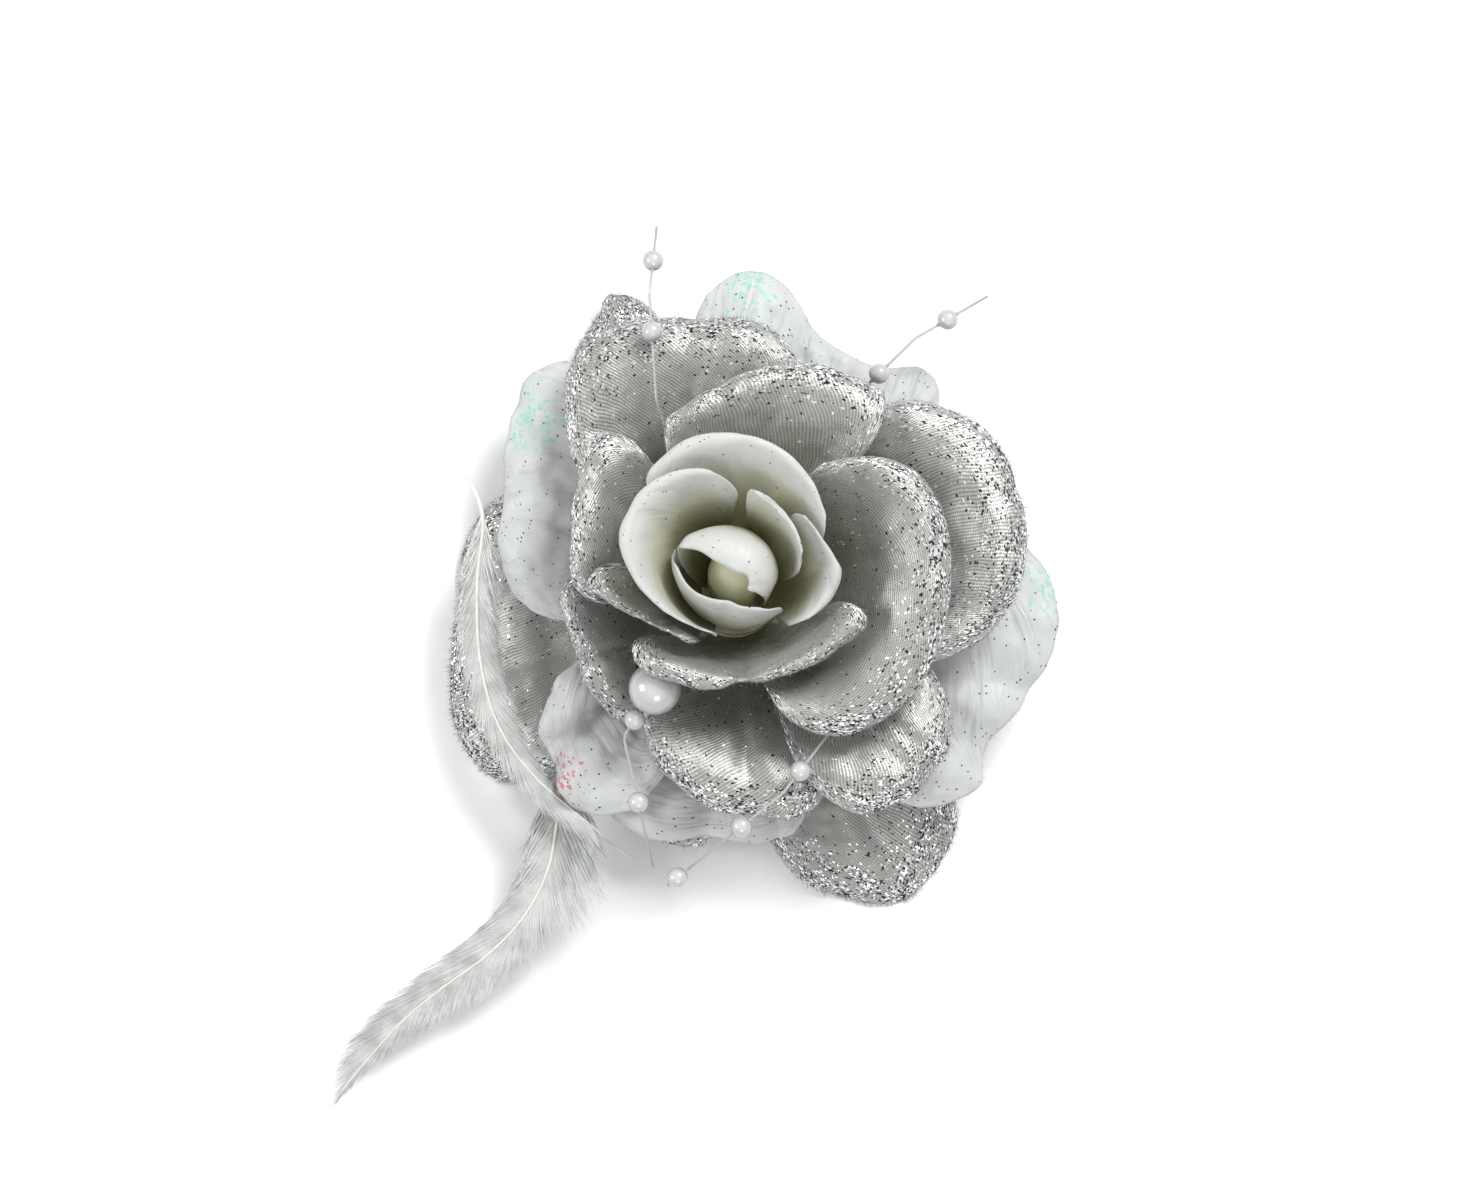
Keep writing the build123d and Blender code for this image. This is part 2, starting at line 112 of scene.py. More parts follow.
world = bpy.data.worlds.new("studio")
world.use_nodes = True
world.node_tree.nodes["Background"].inputs["Color"].default_value = (1, 1, 1, 1)
world.node_tree.nodes["Background"].inputs["Strength"].default_value = 0.56
bpy.context.scene.world = world
for name, place, width, power in (
    ("key_softbox", (0.34, 0.40, 0.70), 0.30, 6.0),
    ("side_softbox", (-0.62, -0.05, 0.42), 0.25, 2.2),
    ("front_softbox", (0.10, -0.65, 0.50), 0.30, 1.2),
):
    lamp = bpy.data.lights.new(name, "AREA")
    lamp.size = width
    lamp.energy = power
    lamp_object = bpy.data.objects.new(name, lamp)
    bpy.context.collection.objects.link(lamp_object)
    lamp_object.location = place
    lamp_object.rotation_euler = (look_at - Vector(place)).to_track_quat("-Z", "Y").to_euler()


# ---- Alligator clip: two sprung jaws, hinge pin and torsion spring ----------------------------------------
# Nickel-plated steel strip, stamped and folded, with a riveted pin.  The plating is bright, with fine rolling
# lines along the strip and dull spots where fingers wear it.
def two_tone(nodes, low, high, low_at=0, high_at=1):
    """A colour ramp between two tones."""
    ramp = nodes.new("ShaderNodeValToRGB")
    for stop, place, tone in zip(ramp.color_ramp.elements, (low_at, high_at), (low, high)):
        stop.position = place
        stop.color = (*tone, 1)
    return ramp


def grain_finish(name, colour, roughness, grain, low, high, stops=(0, 1), bump=0, depth=0, **sockets):
    """A finish whose tone, and relief of a depth in millimetres, follow one fine grain."""
    made, nodes, links, shader = new_material(name, colour, roughness, **sockets)
    texture = add_node(nodes, "TexNoise", **grain)
    tone = two_tone(nodes, low, high, *stops)
    links.new(nodes.new("ShaderNodeTexCoord").outputs["Object"], texture.inputs["Vector"])
    links.new(texture.outputs["Fac"], tone.inputs["Fac"])
    links.new(tone.outputs["Color"], shader.inputs["Base Color"])
    if bump:
        relief = add_node(nodes, "Bump", Strength=bump, Distance=depth * MM)
        links.new(texture.outputs["Fac"], relief.inputs["Height"])
        links.new(relief.outputs["Normal"], shader.inputs["Normal"])
    return made


clip_plate, nodes, links, shader = new_material("nickel_plate", (0.70, 0.70, 0.69), 0.2, Metallic=1.0)
place = nodes.new("ShaderNodeTexCoord")
stretch = add_node(nodes, "Mapping", Scale=(60, 2500, 2500))
rolling = add_node(nodes, "TexNoise", Scale=1.0, Detail=4)
wear = add_node(nodes, "TexNoise", Scale=180)
wear_range = add_node(nodes, "MapRange", From_Min=0.35, From_Max=0.75, To_Min=0.14, To_Max=0.42)
lines = add_node(nodes, "Bump", Strength=0.12, Distance=0.05 * MM)
tone = two_tone(nodes, (0.52, 0.52, 0.51), (0.80, 0.80, 0.79))
links.new(place.outputs["Object"], stretch.inputs["Vector"])
links.new(stretch.outputs["Vector"], rolling.inputs["Vector"])
links.new(place.outputs["Object"], wear.inputs["Vector"])
links.new(wear.outputs["Fac"], wear_range.inputs["Value"])
links.new(wear_range.outputs["Result"], shader.inputs["Roughness"])
links.new(rolling.outputs["Fac"], lines.inputs["Height"])
links.new(rolling.outputs["Fac"], tone.inputs["Fac"])
links.new(tone.outputs["Color"], shader.inputs["Base Color"])
links.new(lines.outputs["Normal"], shader.inputs["Normal"])

spring_steel = grain_finish("drawn_spring_wire", (0.42, 0.42, 0.43), 0.32, dict(Scale=2200),
                            (0.28, 0.28, 0.29), (0.55, 0.55, 0.56), bump=0.15, depth=0.03,
                            Metallic=1.0)


def give_finish(node_name, material):
    """Puts a finish on a CAD node that is shown as it is."""
    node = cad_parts[node_name]
    node.data.materials.clear()
    node.data.materials.append(material)


for node_name in ("upper_jaw", "lower_jaw", "hinge_pin"):
    give_finish(node_name, clip_plate)
give_finish("spring", spring_steel)


# ---- Felt disc, hot-melt glue and flower core -------------------------------------------------------------
# The felt is a white wool-mix disc cut by hand, with a soft, slightly ragged edge.  Hot-melt glue holds it to
# the moulded core, a pale plastic peg that all petals stand around.
felt = grain_finish("white_felt", (0.80, 0.80, 0.78), 0.95, dict(Scale=1400, Detail=6, Distortion=1.6),
                    (0.58, 0.58, 0.56), (0.86, 0.86, 0.84), (0.3, 0.7), bump=0.7, depth=0.15,
                    Sheen_Weight=0.4)

felt_low, felt_high = (Vector(corner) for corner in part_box("felt_disc"))
felt_radius = (felt_high.x - felt_low.x) / 2
felt_lift = 0.05 * MM
felt_margin = 0.15 * MM
edge_wear = 0.03
bm = bmesh.new()
bmesh.ops.create_circle(bm, cap_ends=True, segments=160, radius=felt_radius,
                        matrix=Matrix.Translation((0, 0, felt_low.z + felt_lift)))
for rim_inset in (0.4, 1.2, 4.0, 8.0):
    middle_face = max(bm.faces, key=lambda face: len(face.verts))
    bmesh.ops.inset_region(bm, faces=[middle_face], thickness=rim_inset * MM)
for vert in bm.verts:
    ragged = noise.noise(vert.co * 700) * 0.35 + noise.noise(vert.co * 160) * 0.25
    reach = vert.co.xy.length / felt_radius
    vert.co.xy *= 1 - abs(ragged) * edge_wear * reach**8
    vert.co.z += noise.noise(vert.co * 220) * felt_lift
felt_disc = finish_mesh("felt_disc_cloth", bm, felt)
felt_body = felt_disc.modifiers.new("felt_thickness", "SOLIDIFY")
felt_body.thickness = felt_high.z - felt_low.z - felt_margin
felt_body.offset = 1
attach(felt_disc, "flower")
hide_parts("felt_disc")

hot_melt = grain_finish("hot_melt_glue", (0.80, 0.79, 0.72), 0.3, dict(Scale=420), (0.66, 0.65, 0.55),
                        (0.86, 0.85, 0.80), bump=0.5, depth=0.3, Subsurface_Weight=0.3,
                        Subsurface_Radius=(0.002, 0.002, 0.0015))
give_finish("glue_pad", hot_melt)

# Painted shade: the core's pale tone is darkened to olive-yellow, as it is seen only deep in the bud.
core_plastic_and_shade = grain_finish("moulded_core", (0.45, 0.46, 0.25), 0.5, dict(Scale=260), (0.60, 0.58, 0.36),
                            (0.78, 0.77, 0.58))
give_finish("flower_core", core_plastic_and_shade)


# ---- Silver cloth petals: the drooping back layer, six outer petals and four round the bud ----------------
# Each is cut from stiffened grey satin with a bright metal thread, pressed over a warm ball so that it
# crowns, and rolled at the edge, which is frayed and dusted with black and white glitter.  Each foot stands
# just off the core, where the glue would be.
felt_top = felt_high.z / MM
core_glue_radius = 9.15
neck_glue_radius = 6.45
corner_cut = 0.42
pleat_width = 0.035
cloth_clearance = 0.4    # lowest a petal may hang above the table, in millimetres
thread_clearance = 0.3


def petal_rows(edge, foot, belly, set_back, rise, foot_share=0.5):
    """Rows of points across the petal: foot, belly, crest and free edge.

    An edge is a list of (azimuth, radius, height above the felt), in degrees and millimetres.
    """
    turned = [edge[0]]
    for azimuth, radius, height in edge[1:]:
        step = (azimuth - turned[-1][0] + 180) % 360 - 180
        turned.append((turned[-1][0] + step, radius, height))
    middle = (turned[0][0] + turned[-1][0]) / 2

    def at(azimuth, radius, height, share):
        angle = math.radians(middle + (azimuth - middle) * share)
        return Vector((radius * math.cos(angle), radius * math.sin(angle), felt_top + height))

    foot_at, foot_height = foot
    belly_at, belly_height = belly
    return [
        [at(a, foot_at, foot_height, foot_share) for a, r, h in turned],
        [at(a, belly_at, belly_height, (1 + foot_share) / 2) for a, r, h in turned],
        [at(a, r - set_back * (r - belly_at), h + rise, 1) for a, r, h in turned],
        [at(a, r, h, 1) for a, r, h in turned],
    ]


def along(row, share):
    """Point at a share of the way along a smooth curve through a row of points."""
    last = len(row) - 1
    place = min(max(share, 0), 1) * last
    i = min(int(place), last - 1)
    f = place - i
    a, b, c, d = row[max(i - 1, 0)], row[i], row[i + 1], row[min(i + 2, last)]
    return (b * 2 + (c - a) * f + (a * 2 - b * 5 + c * 4 - d) * f**2 + (b * 3 - a - c * 3 + d) * f**3) * 0.5


def petal_point(rows, across, out):
    """Point on the unruffled petal, at a share of its width and of its length."""
    foot, belly, crest, edge = (along(row, across) for row in rows)
    back = 1 - out
    return foot * back**3 + belly * (3 * out * back**2) + crest * (3 * out**2 * back) + edge * out**3


def ease(low, high, value):
    """Smooth step from 0 at low to 1 at high."""
    share = min(max((value - low) / (high - low), 0), 1)
    return share * share * (3 - 2 * share)


def press_petal(rows, across, out, habit, seed):
    """The petal's point with its ruffles, pleats, crumples and rolled lip, in millimetres."""
    nudge = 0.004
    corner = max(0, 1 - min(across, 1 - across) / habit["corner"])
    out *= 1 - corner_cut * corner**2
    point = petal_point(rows, across, out)
    run = petal_point(rows, min(across + nudge, 1), out) - petal_point(rows, max(across - nudge, 0), out)
    climb = petal_point(rows, across, min(out + nudge, 1)) - petal_point(rows, across, max(out - nudge, 0))
    normal = run.cross(climb).normalized()
    if normal.z < 0:
        normal.negate()
    outward = climb.normalized()
    sideways = run.normalized()

    tag = Vector((seed * 7.31, seed * 3.17, seed * 1.73))
    near_edge = ease(0.5, 1, out)
    lift = habit["ruffle"] * near_edge * noise.noise(Vector((across * habit["waves"], out * 1.3, 0)) + tag)
    for pleat in range(habit["pleats"]):
        lane = 0.14 + 0.72 * (0.5 + 0.5 * noise.noise(tag * (pleat + 1.7)))
        lane += 0.1 * (out - 0.6) * math.sin(seed * 2.1 + pleat * 4.0)
        lift -= habit["pleat"] * math.exp(-((across - lane) / pleat_width) ** 2) * ease(0.25, 0.6, out)
    lift += habit["crumple"] * noise.noise(point * 0.16 + tag)
    lift += habit["crumple"] * 0.45 * noise.noise(point * 0.45 + tag)
    side = min(across, 1 - across)
    lift -= habit["lip"] * (ease(0.9, 1, out) ** 2 + 0.5 * ease(0.05, 0, side) * out)
    scallop = habit["scallop"] * near_edge**3 * noise.noise(Vector((across * 9, 0.3, 0)) + tag)
    sway = habit["scallop"] * 0.6 * ease(0.08, 0, side) * noise.noise(Vector((out * 6, 0.7, 0)) + tag)
    point += normal * lift + outward * scallop + sideways * sway
    point.z = max(point.z, cloth_clearance)
    return point


def sweep_tube(bm, route, radii, sides, flatten=1.0):
    """A closed round tube along a route in millimetres, its radius given at each point."""
    places = []
    side = None
    for i, point in enumerate(route):
        ahead = (route[min(i + 1, len(route) - 1)] - route[max(i - 1, 0)]).normalized()
        side = (ahead.orthogonal() if side is None else side - ahead * side.dot(ahead)).normalized()
        up = ahead.cross(side)
        place = Matrix((side * radii[i], up * (radii[i] * flatten), ahead)).transposed().to_4x4()
        place.translation = point
        places.append(place)
    ring = bmesh.ops.create_circle(bm, cap_ends=True, segments=sides, radius=1, matrix=places[0])["verts"]
    tube = list(ring)
    edges = list({edge for vert in ring for edge in vert.link_edges})
    for before, after in zip(places, places[1:]):
        grown = bmesh.ops.extrude_edge_only(bm, edges=edges)["geom"]
        edges = [part for part in grown if isinstance(part, bmesh.types.BMEdge)]
        ring = [part for part in grown if isinstance(part, bmesh.types.BMVert)]
        edges = [edge for edge in edges if all(vert in ring for vert in edge.verts)]
        bmesh.ops.transform(bm, matrix=after @ before.inverted(), verts=ring)
        tube += ring
    bmesh.ops.contextual_create(bm, geom=edges)
    bmesh.ops.recalc_face_normals(bm, faces=list({face for vert in tube for face in vert.link_faces}))
    bmesh.ops.scale(bm, vec=(MM, MM, MM), verts=tube)


def fray_edge(name, rows, habit, material, seed, threads_per_mm):
    """Loose thread ends along a petal's free edge, as one piece."""
    loose = random.Random(seed)
    thread_radii = [0.05, 0.045, 0.02]
    edge_row = [press_petal(rows, i / 60, 1, habit, seed) for i in range(61)]
    edge_length = sum((b - a).length for a, b in zip(edge_row, edge_row[1:]))
    bm = bmesh.new()
    for _ in range(round(edge_length * threads_per_mm)):
        across = loose.uniform(0.03, 0.97)
        end = press_petal(rows, across, 1, habit, seed)
        way = (end - press_petal(rows, across, 0.97, habit, seed)).normalized()
        way += Vector(loose.uniform(-0.5, 0.5) for _ in range(3))
        curl = Vector(loose.uniform(-0.25, 0.25) for _ in range(3))
        reach = loose.uniform(0.3, 1.1)
        path = [end - way * 0.2, end + way * reach * 0.5, end + way * reach + curl]
        for point in path:
            point.z = max(point.z, thread_clearance)
        sweep_tube(bm, path, thread_radii, 3)
    fray = finish_mesh(f"{name}_fray", bm, material)
    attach(fray, "flower")
    return fray


cut_cell = 0.85          # millimetres between mesh lines across a petal
fewest_cells = 24
cloth_thickness = 0.3
foot_width_share = 0.35  # of the petal's width, in the pattern that the threads follow


def sew_petal(name, rows, habit, material, seed, weave_turn=0.0, frayed=0.0):
    """One petal of thin cloth with its thread map, rim and root marks, and frayed edge."""
    middle_row = [petal_point(rows, i / 40, 0.75) for i in range(41)]
    middle_column = [petal_point(rows, 0.5, i / 40) for i in range(41)]
    wide = sum((b - a).length for a, b in zip(middle_row, middle_row[1:]))
    long = sum((b - a).length for a, b in zip(middle_column, middle_column[1:]))
    bm = bmesh.new()
    bmesh.ops.create_grid(bm, x_segments=max(fewest_cells, round(wide / cut_cell)),
                          y_segments=max(fewest_cells, round(long / cut_cell)), size=1.0)
    thread_map = bm.loops.layers.uv.new("thread_map")
    rim_layer = bm.verts.layers.float.new("rim")
    root_layer = bm.verts.layers.float.new("root")
    turn = Matrix.Rotation(math.radians(weave_turn), 2)
    for face in bm.faces:
        for loop in face.loops:
            cloth = Vector((loop.vert.co.x / 2 * wide, (loop.vert.co.y + 1) / 2 * long))
            cloth.x *= foot_width_share + (1 - foot_width_share) * (loop.vert.co.y + 1) / 2
            loop[thread_map].uv = (turn @ cloth) * 0.01
    for vert in bm.verts:
        across, out = (vert.co.x + 1) / 2, (vert.co.y + 1) / 2
        side = min(across, 1 - across)
        vert[rim_layer] = max(ease(0.62, 1, out), ease(0.16, 0, side) * ease(0.35, 0.8, out))
        # Root: 1 at the foot, 0 at the free edge; the finishes use it to place painted shade.
        vert[root_layer] = 1 - out
        vert.co = press_petal(rows, across, out, habit, seed) * MM
    area = sum(face.calc_area() for face in bm.faces)
    bmesh.ops.recalc_face_normals(bm, faces=bm.faces)
    petal = finish_mesh(f"{name}_petal", bm, material)
    body = petal.modifiers.new("cloth_thickness", "SOLIDIFY")
    body.thickness = cloth_thickness * MM
    body.offset = 0
    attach(petal, "flower")
    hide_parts(name)
    columns = ([press_petal(rows, i / 20, j / 24, habit, seed) for j in range(25)] for i in range(3, 18))
    cut_length = max(sum((b - a).length for a, b in zip(line, line[1:])) for line in columns) * MM
    frays = [fray_edge(name, rows, habit, material, seed, frayed)] if frayed else []


silver, nodes, links, shader = new_material("silver_cloth", (0.36, 0.37, 0.35), 0.38, Metallic=0.55,
                                            Sheen_Weight=0.25)
thread = nodes.new("ShaderNodeUVMap")
thread.uv_map = "thread_map"
in_millimetres = add_node(nodes, "Mapping", Scale=(100, 100, 100))
rim = nodes.new("ShaderNodeAttribute")
rim.attribute_name = "rim"
root = nodes.new("ShaderNodeAttribute")
root.attribute_name = "root"
links.new(thread.outputs["UV"], in_millimetres.inputs["Vector"])

wander = add_node(nodes, "TexNoise", Scale=0.07, Detail=2)
bend = nodes.new("ShaderNodeVectorMath")
bend.operation = "MULTIPLY_ADD"
bend.inputs[1].default_value = (4, 4, 0)
links.new(in_millimetres.outputs["Vector"], wander.inputs["Vector"])
links.new(wander.outputs["Color"], bend.inputs[0])
links.new(in_millimetres.outputs["Vector"], bend.inputs[2])

ribs = add_node(nodes, "TexWave", Scale=0.62, Distortion=0.7, Detail=2, Detail_Scale=1.4)
links.new(bend.outputs["Vector"], ribs.inputs["Vector"])
weft = add_node(nodes, "TexWave", Scale=0.72, Distortion=1.5)
weft.bands_direction = "Y"
links.new(bend.outputs["Vector"], weft.inputs["Vector"])
weave = nodes.new("ShaderNodeMath")
weave.operation = "MULTIPLY_ADD"
weave.inputs[1].default_value = 0.35
links.new(weft.outputs["Fac"], weave.inputs[0])
links.new(ribs.outputs["Fac"], weave.inputs[2])

glitter = add_node(nodes, "TexVoronoi", Scale=2.8)
links.new(in_millimetres.outputs["Vector"], glitter.inputs["Vector"])
flake = nodes.new("ShaderNodeSeparateColor")
links.new(glitter.outputs["Color"], flake.inputs["Color"])
patches = add_node(nodes, "TexNoise", Scale=0.22, Detail=4)
links.new(in_millimetres.outputs["Vector"], patches.inputs["Vector"])


def blend(nodes, links, share, first, second):
    """A colour mix; each input is a colour or another node's output."""
    mix = nodes.new("ShaderNodeMix")
    mix.data_type = "RGBA"
    for socket, value in ((mix.inputs[0], share), (mix.inputs[6], first), (mix.inputs[7], second)):
        if isinstance(value, bpy.types.NodeSocket):
            links.new(value, socket)
        elif isinstance(value, tuple):
            socket.default_value = (*value, 1)
        else:
            socket.default_value = value
    return mix.outputs[2]


def number(nodes, links, operation, *values):
    """A maths node; each input is a number or another node's output."""
    maths = nodes.new("ShaderNodeMath")
    maths.operation = operation
    for socket, value in zip(maths.inputs, values):
        if isinstance(value, bpy.types.NodeSocket):
            links.new(value, socket)
        else:
            socket.default_value = value
    return maths.outputs[0]


# How thickly the glitter lies: thin over the face, patchy, dense towards the rim.
rim_share = number(nodes, links, "POWER", rim.outputs["Fac"], 2.2)
blotches = add_node(nodes, "MapRange", From_Min=0.38, From_Max=0.66)
links.new(patches.outputs["Fac"], blotches.inputs["Value"])
dusting = number(nodes, links, "MULTIPLY", rim_share, blotches.outputs["Result"])
dusting = number(nodes, links, "MULTIPLY_ADD", dusting, 0.75, 0.015)
dusting = number(nodes, links, "MULTIPLY_ADD", rim_share, 0.12, dusting)
dark_flake = number(nodes, links, "LESS_THAN", flake.outputs["Red"],
                    number(nodes, links, "MULTIPLY", dusting, 0.62))
bright_flake = number(nodes, links, "LESS_THAN", flake.outputs["Green"],
                      number(nodes, links, "MULTIPLY", dusting, 0.45))
shade = two_tone(nodes, (0.25, 0.258, 0.245), (0.43, 0.442, 0.42), low_at=0.15)
links.new(weave.outputs[0], shade.inputs["Fac"])
# Painted shade: the cloth darkens to a deep olive towards each petal's foot, deep in the bloom.
painted_shade_share = add_node(nodes, "MapRange", From_Min=0.35, From_Max=0.85, To_Max=0.85)
links.new(root.outputs["Fac"], painted_shade_share.inputs["Value"])
cloth_colour = blend(nodes, links, painted_shade_share.outputs["Result"], shade.outputs["Color"],
                     (0.115, 0.115, 0.06))
cloth_colour = blend(nodes, links, dark_flake, cloth_colour, (0.012, 0.012, 0.013))
cloth_colour = blend(nodes, links, bright_flake, cloth_colour, (0.95, 0.96, 0.95))
links.new(cloth_colour, shader.inputs["Base Color"])
links.new(number(nodes, links, "MULTIPLY_ADD", bright_flake, -0.24, 0.45), shader.inputs["Roughness"])

relief = add_node(nodes, "Bump", Strength=0.42, Distance=0.07 * MM)
links.new(weave.outputs[0], relief.inputs["Height"])
tilt = nodes.new("ShaderNodeVectorMath")
tilt.operation = "SUBTRACT"
tilt.inputs[1].default_value = (0.5, 0.5, 0.5)
links.new(glitter.outputs["Color"], tilt.inputs[0])
tilt_amount = nodes.new("ShaderNodeVectorMath")
tilt_amount.operation = "SCALE"
links.new(tilt.outputs["Vector"], tilt_amount.inputs[0])
links.new(number(nodes, links, "MULTIPLY_ADD", dusting, 0.9, 0.10), tilt_amount.inputs["Scale"])
facing = nodes.new("ShaderNodeVectorMath")
facing.operation = "ADD"
links.new(relief.outputs["Normal"], facing.inputs[0])
links.new(tilt_amount.outputs["Vector"], facing.inputs[1])
levelled = nodes.new("ShaderNodeVectorMath")
levelled.operation = "NORMALIZE"
links.new(facing.outputs["Vector"], levelled.inputs[0])
links.new(levelled.outputs["Vector"], shader.inputs["Normal"])

drooping = dict(corner=0.12, ruffle=1.6, waves=5, pleats=2, pleat=0.5, crumple=0.5, lip=0.9, scallop=1.0)
back_edges = {
    "silver_back_1": [(135, 44, -1), (124, 58, -4), (116, 65, -5), (111, 68, -5), (105, 63, -4),
                      (97, 48, -1)],
    "silver_back_2": [(142, 40, -1), (154, 52, -5), (166, 56, -7), (178, 56, -8), (190, 58, -8.8),
                      (202, 61, -9), (213, 60, -9), (222, 53, -6), (231, 40, -2)],
    "silver_back_3": [(275, 42, -2), (281, 53, -6), (288, 60, -8), (298, 67, -9), (307, 66, -9),
                      (317, 60, -7), (327, 46, -2)],
    "silver_back_4": [(238, 42, 0), (248, 48, -1.5), (260, 50, -2), (272, 44, -1)],
    "silver_back_5": [(336, 42, -1), (352, 53, -5), (12, 57, -7), (32, 55, -7), (50, 49, -4), (64, 40, -1)],
}
for seed, (name, edge) in enumerate(back_edges.items()):
    sew_petal(name, petal_rows(edge, (core_glue_radius, 1.5), (24, 3.6), 0.36, 6), drooping, silver,
              seed + 1, weave_turn=12 * seed, frayed=2.0)

crowned = dict(corner=0.15, ruffle=1.0, waves=4, pleats=2, pleat=0.55, crumple=0.45, lip=0.7, scallop=0.7)
silver_petals = {
    "silver_outer_1": ([(152, 34, 18), (139, 44, 20), (129, 52, 21), (119, 55, 22), (107, 54, 23),
                        (95, 52, 23), (84, 51, 23), (74, 46, 21), (66, 38, 17)], 6.2, (22, 8), 0.38, 8),
    "silver_outer_2": ([(122, 27, 27), (114, 33, 28), (105, 35, 29), (92, 38, 29), (78, 42, 29),
                        (64, 44, 29), (50, 45, 29), (40, 38, 28)], 8.8, (20, 12), 0.42, 9),
    "silver_outer_3": ([(64, 36, 21), (52, 44, 23), (41, 52, 24), (28, 57, 24), (14, 57, 24), (1, 55, 23),
                        (350, 51, 22), (338, 43, 21), (326, 34, 19)], 8.0, (22, 10), 0.38, 9),
    "silver_outer_4": ([(346, 34, 14), (333, 46, 16), (321, 52, 18), (309, 53, 18), (297, 50, 18),
                        (286, 40, 17)], 7.1, (22, 9.1), 0.38, 7),
    "silver_outer_5": ([(302, 36, 10), (293, 44, 12.6), (282, 46, 15), (266, 44, 16), (252, 40, 17),
                        (240, 35, 18), (230, 28, 18)], 6.4, (21, 8.2), 0.42, 7),
    "silver_outer_6": ([(246, 27, 12), (239, 32, 14), (228, 35, 17), (212, 35, 20), (199, 34, 22),
                        (186, 34, 23), (172, 30, 22)], 5.4, (20, 7.8), 0.45, 7),
    "silver_inner_1": ([(60, 18, 32), (48, 28, 34), (36, 36, 35), (22, 40, 34), (6, 41, 33), (350, 41, 32),
                        (334, 41, 30), (318, 40, 28), (304, 37, 26), (291, 31, 25), (279, 23, 25)],
                       9.6, (19, 12), 0.55, 9),
    "silver_inner_2": ([(210, 29, 30), (228, 26, 32), (246, 24, 32), (264, 23, 32), (284, 22.5, 32),
                        (304, 23, 32), (322, 25, 32), (336, 27, 32), (348, 27, 31)],
                       10.6, (16.5, 14), 0.7, 9),
    "silver_inner_3": ([(174, 25, 32), (186, 28, 33), (198, 24, 33), (212, 20, 33), (230, 17, 33),
                        (246, 16, 32)], 11.5, (14, 16), 0.5, 6),
    "silver_inner_4": ([(196, 28, 26), (184, 31, 28), (170, 32, 30), (156, 34, 31), (142, 37, 31),
                        (132, 37, 30), (124, 30, 28)], 8.8, (18, 11), 0.5, 8),
}
for seed, (name, (edge, foot_height, belly, set_back, rise)) in enumerate(silver_petals.items()):
    sew_petal(name, petal_rows(edge, (core_glue_radius, foot_height), belly, set_back, rise), crowned,
              silver, seed + 11, weave_turn=17 * seed - 30, frayed=2.0)


